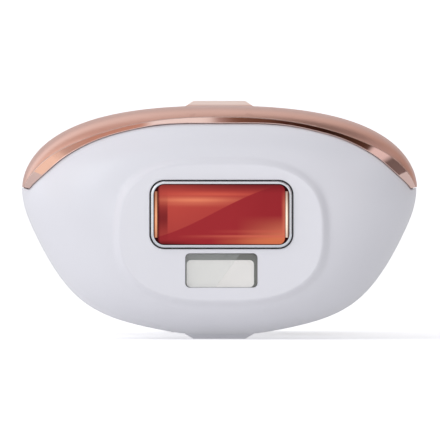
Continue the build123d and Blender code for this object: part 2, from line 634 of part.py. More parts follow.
def build_head_frame():
    """Inner frame with its screws, and the rear plate with its magnets."""
    with BuildPart() as frame:
        front, back = FRAME_Y0 - THROUGH, FRAME_Y1 + THROUGH
        add(rounded_bar(FRAME_W, FRAME_H, FRAME_CORNER, FRAME_Y0, FRAME_Y1, (0, -3.4)))
        add(rounded_bar(GUIDE_W + GAP, GUIDE_H + GAP, GUIDE_CORNER, front, back), mode=Mode.SUBTRACT)
        slot_x, slot_z = (-CABLE_HALF_W - 0.5, CABLE_HALF_W + 0.5), (CABLE_Z - 0.5, CABLE_Z + 0.7)
        add(box_between(slot_x, (front, back), slot_z), mode=Mode.SUBTRACT)
        for x in (-ROD_X, ROD_X):
            add(rod(ROD_R + SLIDE_GAP, front, back, (x, 0)), mode=Mode.SUBTRACT)
        for spot in FRAME_SCREWS:
            add(rod(FRAME_SCREW_R + 0.1, front, back, spot), mode=Mode.SUBTRACT)
    finish(frame, "head_frame")

    screws = []
    for spot in FRAME_SCREWS:
        with BuildPart() as screw:
            add(rod(2 * FRAME_SCREW_R, FRAME_Y1, FRAME_Y1 + 1.2, spot))
            add(rod(FRAME_SCREW_R, INNER_FACE + 3, FRAME_Y1, spot))
        screws.append(screw.part)
    group("head_screws", screws)

    with BuildPart() as plate:
        with BuildSketch(front_plane(PLATE_Y0)):
            with BuildLine():
                add(ring_of(lambda a: outline_radius(a) - WALL - 0.12))
            make_face()
        extrude(amount=-(PLATE_Y1 - PLATE_Y0))
        front, back = PLATE_Y0 - THROUGH, PLATE_Y1 + THROUGH
        add(rounded_bar(NOSE_W + 0.6, NOSE_H + 0.6, 3.5, front, back), mode=Mode.SUBTRACT)
        add(rounded_bar(13.0, 3.0, 1.0, front, back, (0, CONTACT_Z)), mode=Mode.SUBTRACT)
        for x in (-ROD_X, ROD_X):
            add(rod(ROD_R + SLIDE_GAP, front, back, (x, 0)), mode=Mode.SUBTRACT)
        for spot in MAGNETS:
            add(rod(MAGNET_R + 0.04, PLATE_Y0 + 0.38, back, spot), mode=Mode.SUBTRACT)
    finish(plate, "head_rear_plate")

    group("head_magnets", [rod(MAGNET_R, PLATE_Y0 + 0.4, PLATE_Y1, spot) for spot in MAGNETS])


# ---------------------------------------------------------------- handle: shells and covers
def spine_stations(grow=0.0):
    """Stations of the satin spine, or of the pocket that it lies in if it is grown."""
    stations = [(y, -half - grow, half + grow) for y, half in SPINE]
    if grow:
        stations[0] = (HANDLE_FRONT - 0.3, stations[0][1], stations[0][2])
        stations[-1] = (SPINE[-1][0] + 0.1, stations[-1][1], stations[-1][2])
    return stations


def pad_stations(side, grow=0.0, steps=12):
    """Stations of one side pad, an elongated rounded patch."""
    middle, half = (PAD_Y0 + PAD_Y1) / 2, (PAD_Y1 - PAD_Y0) / 2
    end_share = 0.06  # part of the half turn left off at each end, which makes the ends blunt
    stations = []
    for i in range(steps + 1):
        turn = pi * (end_share + (1 - 2 * end_share) * i / steps)
        reach = (PAD_HALF + grow) * sin(turn) ** 0.8
        depth = middle - (half + grow * 0.2) * cos(turn)
        stations.append((depth, side * (PAD_MID - reach), side * (PAD_MID + reach)))
    return stations


def cut_for_controls():
    """Openings for both buttons and the row of lights, as tools through the top skin."""
    with BuildPart() as tool:
        with BuildSketch(Plane.XY.offset(UI_TOP + 0.4)):
            with Locations((0, FLASH_Y)):
                SlotOverall(FLASH_L + 2 * BUTTON_GAP, FLASH_W + 2 * BUTTON_GAP, rotation=90)
            with Locations((0, POWER_Y)):
                Circle(POWER_R + BUTTON_GAP)
            with Locations(*[(x, LED_Y) for x in LED_XS]):
                Circle(LED_R + 0.04)
        extrude(amount=14)
    return tool.part


def split_z(depth):
    """Height of the parting line between the half shells at a depth."""
    return SPLIT_Z + SPLIT_SLOPE * (depth - HANDLE_FRONT)


def split_plane(offset):
    """Parting plane, shifted up by offset; it slopes down towards the rear."""
    return Plane(origin=(0, HANDLE_FRONT, SPLIT_Z + offset), x_dir=(1, 0, 0), z_dir=(0, -SPLIT_SLOPE, 1))


def foot_block(top_z, grow):
    """Block with rounded corners that stands on the table plane."""
    with BuildPart() as block:
        with BuildSketch(Plane.XY.offset(REST_Z)):
            with Locations((0, FOOT_Y)):
                RectangleRounded(FOOT_W + 2 * grow, FOOT_L + 2 * grow, FOOT_CORNER)
        extrude(amount=top_z - REST_Z)
    return block.part


def build_shells():
    """Upper and lower half shells with bosses, button openings, vents and pockets."""
    boss_gap = 0.35  # from the parting line to each half of a boss
    above_skin = -1.2  # pockets are cut from just outside the skin

    with BuildPart() as tube:
        add(handle_skin())
        inside = handle_skin(inset=HANDLE_WALL, front=HANDLE_FRONT - THROUGH, rear=HANDLE_REAR + THROUGH)
        add(inside, mode=Mode.SUBTRACT)

    with BuildPart() as upper:
        add(tube.part)
        split(bisect_by=split_plane(GAP / 2), keep=Keep.TOP)
        for x, y, _, roof_z in SHELL_SCREWS:
            low = split_z(y) + boss_gap
            add(post(BOSS_R, low, roof_z, (x, y)))
            add(post(SCREW_R + SLIDE_GAP, low - THROUGH, roof_z - 3, (x, y)), mode=Mode.SUBTRACT)
        add(patch(spine_stations(boss_gap), above_skin, COVER + 0.06), mode=Mode.SUBTRACT)
        add(cut_for_controls(), mode=Mode.SUBTRACT)
    finish(upper, "upper_shell")

    with BuildPart() as lower:
        add(tube.part)
        split(bisect_by=split_plane(-GAP / 2), keep=Keep.BOTTOM)
        for x, y, seat_z, _ in SHELL_SCREWS:
            high = split_z(y) - boss_gap
            add(post(BOSS_R, seat_z + 0.7, high, (x, y)))
            add(post(SCREW_R + SLIDE_GAP, seat_z, high + THROUGH, (x, y)), mode=Mode.SUBTRACT)
            well_r = SCREW_HEAD_R + 0.15
            add(post(well_r, REST_Z - 5, seat_z + SCREW_HEAD_T + SLIDE_GAP, (x, y)), mode=Mode.SUBTRACT)
        add(patch(spine_stations(boss_gap), above_skin, COVER + 0.06), mode=Mode.SUBTRACT)
        for side in (-1, 1):
            add(patch(pad_stations(side, 0.3), above_skin, PAD_T + SLIDE_GAP), mode=Mode.SUBTRACT)
            for y in VENT_YS:
                slot_x, slot_y = mirrored_limits(side, 18, 45), (y - VENT_HALF_W, y + VENT_HALF_W)
                add(box_between(slot_x, slot_y, (VENT_Z0, VENT_Z1)), mode=Mode.SUBTRACT)
        add(foot_block(FOOT_TOP_Z + 0.1, GAP), mode=Mode.SUBTRACT)
    finish(lower, "lower_shell")


def build_handle_covers():
    """Satin spine, soft side pads, rubber foot and the dust screens inside the vents."""
    with BuildPart() as spine:
        add(patch(spine_stations(), 0.0, COVER))
        add(cut_for_controls(), mode=Mode.SUBTRACT)
    finish(spine, "spine_cover")

    group("grip_pads", [patch(pad_stations(side), -PAD_PROUD, PAD_T) for side in (-1, 1)])

    with BuildPart() as foot:
        add(foot_block(FOOT_TOP_Z, 0))
        chamfer(foot.faces().sort_by(Axis.Z)[0].edges(), length=0.5)
    finish(foot, "rubber_foot")

    screens = []
    outer = HANDLE_WALL + 0.2
    for side in (-1, 1):
        depths = (VENT_YS[0] - 2, 46, 50, 54, VENT_YS[-1] + 2)
        stations = [(y, side * SCREEN_START, side * SCREEN_END) for y in depths]
        screens.append(patch(stations, outer, outer + SCREEN_T))
    group("vent_screens", screens)


def rear_loft(stations):
    """Rear end of the handle's skin, drawn in by an inset at each depth."""
    def section(depth, inset):
        return depth, lambda a: handle_radius(a, HANDLE_REAR) - inset

    return lofted([section(depth, inset) for depth, inset in stations])


def build_rear_cap():
    """Domed rear cap with slots and the recess of the power socket, and the shell screws."""
    outside = [(157.1, 0.0), (159.5, 0.35), (162.5, 1.6), (164.8, 3.6), (166.3, 6.2), (CAP_END, 8.6)]
    inside = [(156.5, 2.6), (159.5, 3.0), (162, 4.6), (164.2, 8.0)]
    recess_y = CAP_END - SOCKET_DEPTH
    with BuildPart() as cap:
        add(rear_loft(outside))
        add(rear_loft(inside), mode=Mode.SUBTRACT)
        add(rod(7.6, 158.5, 165.5, (0, SOCKET_Z)))
        add(rod(SOCKET_BODY_R + 0.1, HANDLE_REAR, 165, (0, SOCKET_Z)), mode=Mode.SUBTRACT)
        add(rod(SOCKET_R, recess_y, CAP_END + THROUGH, (0, SOCKET_Z)), mode=Mode.SUBTRACT)
        for x in REAR_SLOT_XS:
            for side in (-1, 1):
                slot_x = mirrored_limits(side, x - REAR_SLOT_HALF_W, x + REAR_SLOT_HALF_W)
                slot = box_between(slot_x, (157.5, CAP_END + THROUGH), (REAR_SLOT_Z0, REAR_SLOT_Z1))
                add(slot, mode=Mode.SUBTRACT)
    finish(cap, "rear_cap")

    screws = []
    for x, y, seat_z, _ in SHELL_SCREWS:
        with BuildPart() as screw:
            add(post(SCREW_HEAD_R, seat_z, seat_z + SCREW_HEAD_T, (x, y)))
            add(post(SCREW_R, seat_z + SCREW_HEAD_T, seat_z + SCREW_L, (x, y)))
        screws.append(screw.part)
    group("shell_screws", screws)


def build_power_socket():
    """Low-voltage socket: a barrel on a square body, with its centre pin."""
    block_y1 = HANDLE_REAR - 0.2
    with BuildPart() as socket:
        add(rod(SOCKET_BODY_R, block_y1, CAP_END - SOCKET_DEPTH - 0.1, (0, SOCKET_Z)))
        add(box_between((-5, 5), (SOCKET_Y0, block_y1), (SOCKET_Z - 5.5, SOCKET_Z + 5)))
        add(rod(SOCKET_CAVITY_R, SOCKET_FLOOR, CAP_END, (0, SOCKET_Z)), mode=Mode.SUBTRACT)
    finish(socket, "power_socket")

    with BuildPart() as pin:
        add(rod(PIN_R, SOCKET_FLOOR, 162.0, (0, SOCKET_Z)))
    finish(pin, "socket_pin")


# ---------------------------------------------------------------- handle: front and light engine
def build_bulkhead():
    """Front wall with the nose that carries the head, steel keepers and spring contacts."""
    keeper_t = 1.6
    front, back = HANDLE_FRONT - 0.4, BULKHEAD_Y1 + THROUGH
    with BuildPart() as bulkhead:
        with BuildSketch(front_plane(HANDLE_FRONT)):
            with BuildLine():
                add(ring_of(lambda a: handle_radius(a, BULKHEAD_Y1 + 0.6) - HANDLE_WALL - 0.15))
            make_face()
        extrude(amount=-(BULKHEAD_Y1 - HANDLE_FRONT))
        add(rounded_bar(NOSE_W, NOSE_H, 3.2, NOSE_Y0, HANDLE_FRONT + 1))
        add(rounded_bar(EXIT_W + 0.1, EXIT_H + 0.1, 1.8, NOSE_Y0 - 0.5, EXIT_Y1 + 0.05), mode=Mode.SUBTRACT)
        add(rounded_bar(EXIT_W - 1.1, EXIT_H - 1.1, 1.4, NOSE_Y0 - 0.5, back), mode=Mode.SUBTRACT)
        for x in (-ROD_X, ROD_X):
            add(rod(ROD_R + SLIDE_GAP, front, back, (x, 0)), mode=Mode.SUBTRACT)
        for spot in MAGNETS:
            add(rod(MAGNET_R + 0.04, front, HANDLE_FRONT + keeper_t + 0.02, spot), mode=Mode.SUBTRACT)
        for x in PIN_XS:
            add(rod(0.74, front, back, (x, CONTACT_Z)), mode=Mode.SUBTRACT)
    finish(bulkhead, "front_bulkhead")

    group("keeper_discs", [rod(MAGNET_R, HANDLE_FRONT, HANDLE_FRONT + keeper_t, spot) for spot in MAGNETS])

    with BuildPart() as window:
        add(rounded_bar(EXIT_W, EXIT_H, 1.75, EXIT_Y0, EXIT_Y1))
    finish(window, "exit_window")

    contact_face = 23.43
    pins = []
    for x in PIN_XS:
        with BuildPart() as pin:
            add(rod(0.7, HANDLE_FRONT, BULKHEAD_Y1 + 1.4, (x, CONTACT_Z)))
            add(rod(0.45, contact_face, HANDLE_FRONT, (x, CONTACT_Z)))
        pins.append(pin.part)
    group("spring_pins", pins)


def reflector_curve(shell):
    """Points of half a trough behind the lamp, drawn in by the shell's thickness."""
    outer = [(29.3, 6.3), (33, 7.4), (38, 7.1), (41.8, 4.6), (43.1, 0)]
    pull = [(0, 1), (0, 1), (0, 1.08), (1, 0.67), (1.17, 0)]  # share of the shell taken off y and z
    half = [(y - shell * dy, z - shell * dz) for (y, z), (dy, dz) in zip(outer, pull)]
    return half + [(y, -z) for y, z in half[-2::-1]]


def build_light_engine():
    """Flash lamp, its metal caps, holders and reflector."""
    shell, half_l = 0.6, HOLDER_X0 - 0.2
    outer, inner = reflector_curve(0), reflector_curve(shell)
    with BuildPart() as reflector:
        with BuildSketch(Plane.YZ.offset(-half_l)):
            with BuildLine():
                Spline(*outer)
                Line(outer[-1], inner[-1])
                Spline(*inner[::-1])
                Line(inner[0], outer[0])
            make_face()
        extrude(amount=2 * half_l)
    finish(reflector, "reflector")

    axis = (LAMP_Y, 0)
    with BuildPart() as lamp:
        add(cross_rod(LAMP_R, -LAMP_HALF_L, LAMP_HALF_L, axis))
        add(cross_rod(LAMP_R - LAMP_WALL, -LAMP_HALF_L, LAMP_HALF_L, axis), mode=Mode.SUBTRACT)
    finish(lamp, "lamp_tube")

    cap_x0, cap_l = LAMP_HALF_L - 0.9, 4.0
    caps = []
    holders = []
    for side in (-1, 1):
        with BuildPart() as cap:
            add(cross_rod(LAMP_R + 0.5, *mirrored_limits(side, cap_x0, cap_x0 + cap_l), axis))
            seat = cross_rod(LAMP_R + 0.04, *mirrored_limits(side, cap_x0 - 0.1, cap_x0 + 1.0), axis)
            add(seat, mode=Mode.SUBTRACT)
        caps.append(cap.part)
        with BuildPart() as holder:
            add(box_between(mirrored_limits(side, HOLDER_X0, HOLDER_X1), (33.4, 43.3), (-7.8, 7.8)))
            bore = cross_rod(LAMP_R + 0.05, *mirrored_limits(side, HOLDER_X0 - 1, HOLDER_X1 + 1), axis)
            add(bore, mode=Mode.SUBTRACT)
        holders.append(holder.part)
    group("lamp_caps", caps)
    group("lamp_holders", holders)


def build_contact_switches():
    """One switch behind each push rod, with its plunger."""
    bodies = []
    for side in (-1, 1):
        x = mirrored_limits(side, HOLDER_X0, SWITCH_X1)
        with BuildPart() as body:
            add(box_between(x, (BULKHEAD_Y1 + 0.05, SWITCH_Y1), (-SWITCH_HALF_H, SWITCH_HALF_H)))
            bore = rod(ROD_R + SLIDE_GAP, BULKHEAD_Y1 - THROUGH, SWITCH_Y1 - 1.1, (side * ROD_X, 0))
            add(bore, mode=Mode.SUBTRACT)
        bodies.append(body.part)
    group("contact_switches", bodies)
    group("switch_plungers", [rod(ROD_R, PLATE_Y1 + 0.1, SWITCH_Y1 - 2.1, (x, 0)) for x in (-ROD_X, ROD_X)])


# ---------------------------------------------------------------- handle: cooling and power
def build_cooling():
    """Finned heat sink behind the lamp and the axial fan behind it."""
    pitch = (SINK_W - FIN_T) / (FIN_COUNT - 1)
    with BuildPart() as sink:
        add(box_between((-SINK_W / 2, SINK_W / 2), (SINK_Y0, SINK_BASE_Y), (-SINK_H / 2, SINK_H / 2)))
        for i in range(FIN_COUNT):
            x = -SINK_W / 2 + pitch * i
            add(box_between((x, x + FIN_T), (SINK_BASE_Y, SINK_Y1), (-SINK_H / 2, SINK_H / 2)))
    finish(sink, "heat_sink")

    spoke_t, spoke_w, screw_pitch = 1.1, 2.0, FAN_SIZE - 5
    with BuildPart() as frame:
        add(rounded_bar(FAN_SIZE, FAN_SIZE, 2.5, FAN_Y0, FAN_Y1))
        add(rod(FAN_BORE_R, FAN_Y0 - THROUGH, FAN_Y1 - spoke_t), mode=Mode.SUBTRACT)
        with BuildSketch(front_plane(FAN_Y1 - spoke_t - THROUGH)):
            Circle(FAN_BORE_R)
            Circle(FAN_HUB_R + 0.2, mode=Mode.SUBTRACT)
            Rectangle(FAN_SIZE, spoke_w, mode=Mode.SUBTRACT)
            Rectangle(spoke_w, FAN_SIZE, mode=Mode.SUBTRACT)
        extrude(amount=-(spoke_t + 2 * THROUGH), mode=Mode.SUBTRACT)
        with BuildSketch(front_plane(FAN_Y0 - THROUGH)):
            with GridLocations(screw_pitch, screw_pitch, 2, 2):
                Circle(1.4)
        extrude(amount=-(FAN_Y1 - FAN_Y0 + 2 * THROUGH), mode=Mode.SUBTRACT)
    finish(frame, "fan_frame")

    blade_l, blade_w, blade_t = 7.6, 5.4, 0.9
    blade_spot = Location((FAN_HUB_R + 3.4, (FAN_Y0 + FAN_Y1) / 2 - 0.4, 0), (BLADE_PITCH, 0, 0))
    with BuildPart() as rotor:
        add(rod(FAN_HUB_R, FAN_Y0 + 0.4, FAN_Y1 - 1.4))
        for i in range(BLADE_COUNT):
            with Locations(Location((0, 0, 0), (0, 360 / BLADE_COUNT * i, 0)) * blade_spot):
                Box(blade_l, blade_w, blade_t)
    finish(rotor, "fan_rotor")


def build_electronics():
    """Flash capacitor, main board, charging transformer and the parts on the board."""
    with BuildPart() as capacitor:
        add(rod(CAP_R, CAP_Y0, CAP_Y1, (CAP_X, CAP_Z)))
        fillet(capacitor.edges().filter_by(GeomType.CIRCLE), radius=0.8)
    finish(capacitor, "flash_capacitor")

    with BuildPart() as board:
        add(box_between((BOARD_X, BOARD_X + BOARD_T), (67, 134), (-15, 8)))
    finish(board, "main_board")

    right = BOARD_X + BOARD_T
    core_x, limb_z = (right + 1.2, 18.8), (-5.0, -1.0)
    with BuildPart() as core:
        for yoke_y in ((98, 101), (109, 112)):
            add(box_between(core_x, yoke_y, (-9.5, 3.5)))
        add(box_between(core_x, (98, 112), limb_z))
    finish(core, "transformer_core")

    with BuildPart() as winding:
        add(box_between((right + 0.05, core_x[1] - 0.3), (101.1, 108.9), (-8.5, 2.5)))
        window_z = (limb_z[0] - 0.1, limb_z[1] + 0.1)
        add(box_between((core_x[0] - 0.1, core_x[1] + 0.2), (100, 110), window_z), mode=Mode.SUBTRACT)
    finish(winding, "transformer_winding")

    chips = [
        box_between((right, 17.4), (82, 93), (-9, 1)),  # choke
        box_between((right, 13.5), (116, 126), (-11, -3)),  # power transistor
        box_between((4.4, BOARD_X), (104, 114), (-11.5, -1.5)),  # lamp trigger coil
        box_between((5.0, BOARD_X), (120, 127), (-2, 6)),  # supply plug
        box_between((6.6, BOARD_X), (86, 98), (-13, -5)),  # controller
    ]
    cans = [cross_rod(2.5, BOARD_X - 5.2, BOARD_X, (y, z)) for y in (72.5, 78.5) for z in (-10, 3)]
    group("board_parts", chips + cans)


def build_leads():
    """Two leads from the lamp's caps and two from the power socket to the board."""
    lamp_end, socket_end = 21.2, SOCKET_Y0 - 0.3
    wires = [
        [
            (lamp_end, LAMP_Y, 0), (22.1, 39.5, -1), (21.9, 50, -2.5), (21.5, 60, -3), (21.0, 66, -3.2),
            (17.5, 73, -4.2), (10.85, 77, -5),
        ],
        [
            (-lamp_end, LAMP_Y, 0), (-22.1, 39.5, -1), (-21.9, 50, -2.5), (-21.5, 60, -3), (-21.0, 66, -3.2),
            (-19.6, 69.8, -3.5),
        ],
        [(2, socket_end, SOCKET_Z), (2.4, 144, -4), (5.6, 138, -4), (7.9, 130.5, -4)],
        [(-2, socket_end, SOCKET_Z), (-1.6, 143, -6), (4.4, 137, -8), (7.9, 129.5, -8)],
    ]
    leads = []
    for route in wires:
        with BuildPart() as lead:
            with BuildLine() as path:
                Spline(*route)
            with BuildSketch(Plane(origin=path.line @ 0, z_dir=path.line % 0)):
                Circle(WIRE_R)
            sweep(path=path.line)
        leads.append(lead.part)
    group("power_leads", leads)


# ---------------------------------------------------------------- handle: controls
def slot_face(spot, length, width):
    """Slot along Y, as a sketch to be placed under a button."""
    with BuildSketch(Plane.XY) as face:
        with Locations(spot):
            SlotOverall(length, width, rotation=90)
    return face.sketch


def disc_face(spot, radius):
    """Disc, as a sketch to be placed under a button."""
    with BuildSketch(Plane.XY) as face:
        with Locations(spot):
            Circle(radius)
    return face.sketch


def build_button(name, faces, posts, floor, flange_t, proud):
    """Hollow button whose top follows the skin, with a retaining flange and posts underneath."""
    outline, hollow, flange = faces
    top_wall = 0.8
    above = 16  # taller than any button
    with BuildPart() as inside:
        with BuildSketch(Plane.XY.offset(floor - THROUGH)):
            add(hollow)
            for spot, radius in posts:
                with Locations(spot):
                    Circle(radius, mode=Mode.SUBTRACT)
        extrude(amount=above)
        add(handle_skin(inset=top_wall), mode=Mode.INTERSECT)
    with BuildPart() as button:
        with BuildSketch(Plane.XY.offset(floor)):
            add(outline)
        extrude(amount=above)
        add(handle_skin(inset=-proud), mode=Mode.INTERSECT)
        with BuildSketch(Plane.XY.offset(floor)):
            add(flange)
        extrude(amount=flange_t)
        add(inside.part, mode=Mode.SUBTRACT)
    finish(button, name)


def build_switch(name, size, spot, top, stem_radius, stem_top):
    """Small push switch on the control board: a body and a separate moving stem."""
    x, y = spot
    half = size / 2
    with BuildPart() as body:
        add(box_between((x - half, x + half), (y - half, y + half), (UI_TOP + 0.02, top)))
        add(post(stem_radius + SLIDE_GAP, UI_TOP + 0.15, top + THROUGH, spot), mode=Mode.SUBTRACT)
    finish(body, name + "_body")
    with BuildPart() as stem:
        add(post(stem_radius, top - 0.25, stem_top, spot))
    finish(stem, name + "_stem")


def build_flash_control():
    """Flash button with its push switch and return springs."""
    spot, rim, lip = (0, FLASH_Y), 2.6, 1.6
    post_r, spring_post_r = 1.9, 1.7
    faces = [slot_face(spot, FLASH_L + grow, FLASH_W + grow) for grow in (0, -rim, lip)]
    posts = [(spot, post_r)] + [((0, y), spring_post_r) for y in FLASH_SPRING_YS]
    build_button("flash_button", faces, posts, FLASH_FLOOR, 1.1, FLASH_PROUD)
    build_switch("flash_switch", 6.2, spot, 12.2, 1.5, FLASH_FLOOR)

    low, turns = UI_TOP + 0.02, 3
    length = FLASH_FLOOR - 0.02 - low
    springs = [
        coil(FLASH_SPRING_R, FLASH_SPRING_WIRE, length, turns, (0, y, low), (0, 0, 1))
        for y in FLASH_SPRING_YS
    ]
    group("flash_springs", springs)


def build_power_control():
    """Round power button with its push switch."""
    spot, rim, lip, post_r = (0, POWER_Y), 1.2, 0.8, 1.2
    faces = [disc_face(spot, POWER_R + grow) for grow in (0, -rim, lip)]
    build_button("power_button", faces, [(spot, post_r)], POWER_FLOOR, 0.8, POWER_PROUD)
    build_switch("power_switch", 4.4, spot, 11.6, 1.0, POWER_FLOOR)


def build_status_row():
    """Control board, and the row of lights that shows the chosen level."""
    with BuildPart() as board:
        add(box_between((-UI_HALF_W, UI_HALF_W), (UI_Y0, UI_Y1), (UI_TOP - UI_T, UI_TOP)))
    finish(board, "control_board")

    led_t, led_half_w, led_half_l = 0.8, 0.8, 0.5
    lenses = []
    leds = []
    for x in LED_XS:
        with BuildPart() as lens:
            add(post(LED_R, UI_TOP + led_t + 0.1, UI_TOP + 14, (x, LED_Y)))
            add(handle_skin(), mode=Mode.INTERSECT)
        lenses.append(lens.part)
        led_x, led_y = (x - led_half_w, x + led_half_w), (LED_Y - led_half_l, LED_Y + led_half_l)
        leds.append(box_between(led_x, led_y, (UI_TOP, UI_TOP + led_t)))
    group("status_lenses", lenses)
    group("status_leds", leds)


if __name__ == "__main__":
    os.makedirs("parts", exist_ok=True)
    build_bevel_trim()
    build_head_cover()
    build_head_shell()
    build_contact_ring()
    build_window()
    build_sensor()
    build_head_frame()
    build_shells()
    build_handle_covers()
    build_rear_cap()
    build_power_socket()
    build_bulkhead()
    build_light_engine()
    build_contact_switches()
    build_cooling()
    build_electronics()
    build_leads()
    build_flash_control()
    build_power_control()
    build_status_row()
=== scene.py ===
"""Looks, light and camera for the hair remover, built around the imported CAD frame.

Metres, +Z up, -Y towards the viewer. The origin is the centre of the red window's front face.
"""

import json
import math

import bpy
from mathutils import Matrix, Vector


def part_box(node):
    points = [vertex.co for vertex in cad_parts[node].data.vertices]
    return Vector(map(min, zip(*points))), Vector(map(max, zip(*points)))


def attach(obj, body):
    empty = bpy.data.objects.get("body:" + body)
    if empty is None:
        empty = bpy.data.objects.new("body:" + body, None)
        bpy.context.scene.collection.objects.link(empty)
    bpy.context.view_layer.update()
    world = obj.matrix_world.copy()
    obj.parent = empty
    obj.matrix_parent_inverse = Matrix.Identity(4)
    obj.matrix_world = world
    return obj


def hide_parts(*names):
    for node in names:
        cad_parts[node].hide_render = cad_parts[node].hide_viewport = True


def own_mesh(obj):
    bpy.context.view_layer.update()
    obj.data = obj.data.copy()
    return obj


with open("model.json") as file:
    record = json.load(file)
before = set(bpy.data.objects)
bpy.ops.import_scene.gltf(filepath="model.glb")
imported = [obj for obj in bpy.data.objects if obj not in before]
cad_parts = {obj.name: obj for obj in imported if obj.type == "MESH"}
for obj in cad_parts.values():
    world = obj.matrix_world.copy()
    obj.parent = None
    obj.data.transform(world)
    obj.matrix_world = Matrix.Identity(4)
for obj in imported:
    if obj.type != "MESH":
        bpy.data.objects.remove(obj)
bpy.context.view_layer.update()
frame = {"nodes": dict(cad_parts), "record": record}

MM = 0.001
REST_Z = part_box("rubber_foot")[0].z  # height of the surface that the hair remover stands on
RIDGE_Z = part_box("head_cover")[1].z  # top of the upper pull-off ridge


# ---------------------------------------------------------------- node helpers
EDGE_FULL, EDGE_NONE = 0.80, 0.99  # cosine of the rounded normal's turn: fully on an edge, off it


class Graph:
    """Short names for building the node tree of a material, or of the world if owner is given."""

    def __init__(self, name, owner=None):
        self.material = owner or bpy.data.materials.new(name)
        self.material.use_nodes = True
        self.tree = self.material.node_tree
        self.shader = self.tree.nodes["Background" if owner else "Principled BSDF"]
        self.place = self.tree.nodes.new("ShaderNodeTexCoord").outputs["Generated" if owner else "Object"]

    def link(self, source, target):
        self.tree.links.new(source, target)

    def math(self, operation, a, b=0.0, clamp=False):
        n = self.tree.nodes.new("ShaderNodeMath")
        n.operation = operation
        n.use_clamp = clamp
        for socket, value in zip(n.inputs, (a, b)):
            if isinstance(value, (int, float)):
                socket.default_value = value
            else:
                self.link(value, socket)
        return n.outputs[0]

    def times(self, a, b):
        return self.math("MULTIPLY", a, b)

    def noise(self, scale, detail, stretch=(1, 1, 1)):
        """Noise with about scale features per metre, times stretch along each axis."""
        mapping = self.tree.nodes.new("ShaderNodeMapping")
        mapping.inputs["Scale"].default_value = stretch
        self.link(self.place, mapping.inputs["Vector"])
        n = self.tree.nodes.new("ShaderNodeTexNoise")
        n.inputs["Scale"].default_value = scale
        n.inputs["Detail"].default_value = detail
        self.link(mapping.outputs[0], n.inputs["Vector"])
        return n.outputs["Fac"]

    def spread(self, factor, low, high, start=0.3, end=0.7):
        """Maps factor from start..end to low..high, held at both ends."""
        n = self.tree.nodes.new("ShaderNodeMapRange")
        n.inputs["From Min"].default_value = start
        n.inputs["From Max"].default_value = end
        n.inputs["To Min"].default_value = low
        n.inputs["To Max"].default_value = high
        self.link(factor, n.inputs["Value"])
        return n.outputs["Result"]

    def mix(self, factor, first, second, kind="MIX"):
        n = self.tree.nodes.new("ShaderNodeMix")
        n.data_type = "RGBA"
        n.blend_type = kind
        for socket, value in ((n.inputs[0], factor), (n.inputs[6], first), (n.inputs[7], second)):
            if isinstance(value, (int, float)):
                socket.default_value = value
            elif isinstance(value, tuple):
                socket.default_value = (*value, 1.0)
            else:
                self.link(value, socket)
        return n.outputs[2]

    def bump(self, height, strength, distance, normal=None):
        n = self.tree.nodes.new("ShaderNodeBump")
        n.inputs["Strength"].default_value = strength
        n.inputs["Distance"].default_value = distance
        self.link(height, n.inputs["Height"])
        if normal:
            self.link(normal, n.inputs["Normal"])
        return n.outputs["Normal"]

    def rounded(self, radius):
        """Normal that rounds sharp edges off, and a mask that is 1 on those edges."""
        n = self.tree.nodes.new("ShaderNodeBevel")
        n.samples = 4
        n.inputs["Radius"].default_value = radius
        dot = self.tree.nodes.new("ShaderNodeVectorMath")
        dot.operation = "DOT_PRODUCT"
        self.link(n.outputs[0], dot.inputs[0])
        self.link(self.tree.nodes.new("ShaderNodeNewGeometry").outputs["Normal"], dot.inputs[1])
        return n.outputs[0], self.spread(dot.outputs["Value"], 1.0, 0.0, EDGE_FULL, EDGE_NONE)

    def tilted(self, weights, offset=0.0):
        """offset plus the place's x, y and z, each times its weight."""
        total = offset
        for name, weight in zip("XYZ", weights):
            total = self.math("ADD", self.times(self.axis(name), weight), total)
        return total

    def axis(self, name):
        n = self.tree.nodes.new("ShaderNodeSeparateXYZ")
        self.link(self.place, n.inputs[0])
        return n.outputs[name]

    def bell(self, value, centre, width):
        """1 at centre, falling smoothly to 0 within about twice width."""
        offset = self.math("DIVIDE", self.math("SUBTRACT", value, centre), width)
        return self.math("EXPONENT", self.times(self.times(offset, offset), -1.0))

    def base_so_far(self):
        """What the base colour is linked to so far, for a further layer on top."""
        return self.shader.inputs["Base Color"].links[0].from_socket

    def glow(self, colour, strength):
        """Gives off a colour, which may be a fixed one or a link."""
        if isinstance(colour, tuple):
            self.shader.inputs["Emission Color"].default_value = (*colour, 1.0)
        else:
            self.link(colour, self.shader.inputs["Emission Color"])
        self.shader.inputs["Emission Strength"].default_value = strength


def srgb(r, g, b):
    """Display colour 0-255 to scene-linear."""
    return tuple(((c / 255 + 0.055) / 1.055) ** 2.4 if c > 10 else c / 255 / 12.92 for c in (r, g, b))


def darker(colour, share):
    return tuple(c * share for c in colour)


DRIFT_SCALE, SMUDGE_SCALE, SCUFF_SCALE, EDGE_WEAR_AND_HIGHLIGHT_SCALE, GRAIN_SCALE = 45, 70, 420, 700, 9000  # per metre
SCUFF_STRETCH = (1, 0.35, 1)  # scuffs are longer from front to back
SCUFF_SHADE = 0.8  # colour left where a scuff is full
SCUFF_DULLING, EDGE_DULLING = 0.48, 0.2  # roughness that a full scuff and a fully lightened edge add
EDGE_LIGHTENING = 0.35  # share of the way to white that a fully lightened edge goes; on the satin this is a painted highlight
GRAIN_STRENGTH = 0.35
COAT_ROUGHNESS = 0.08


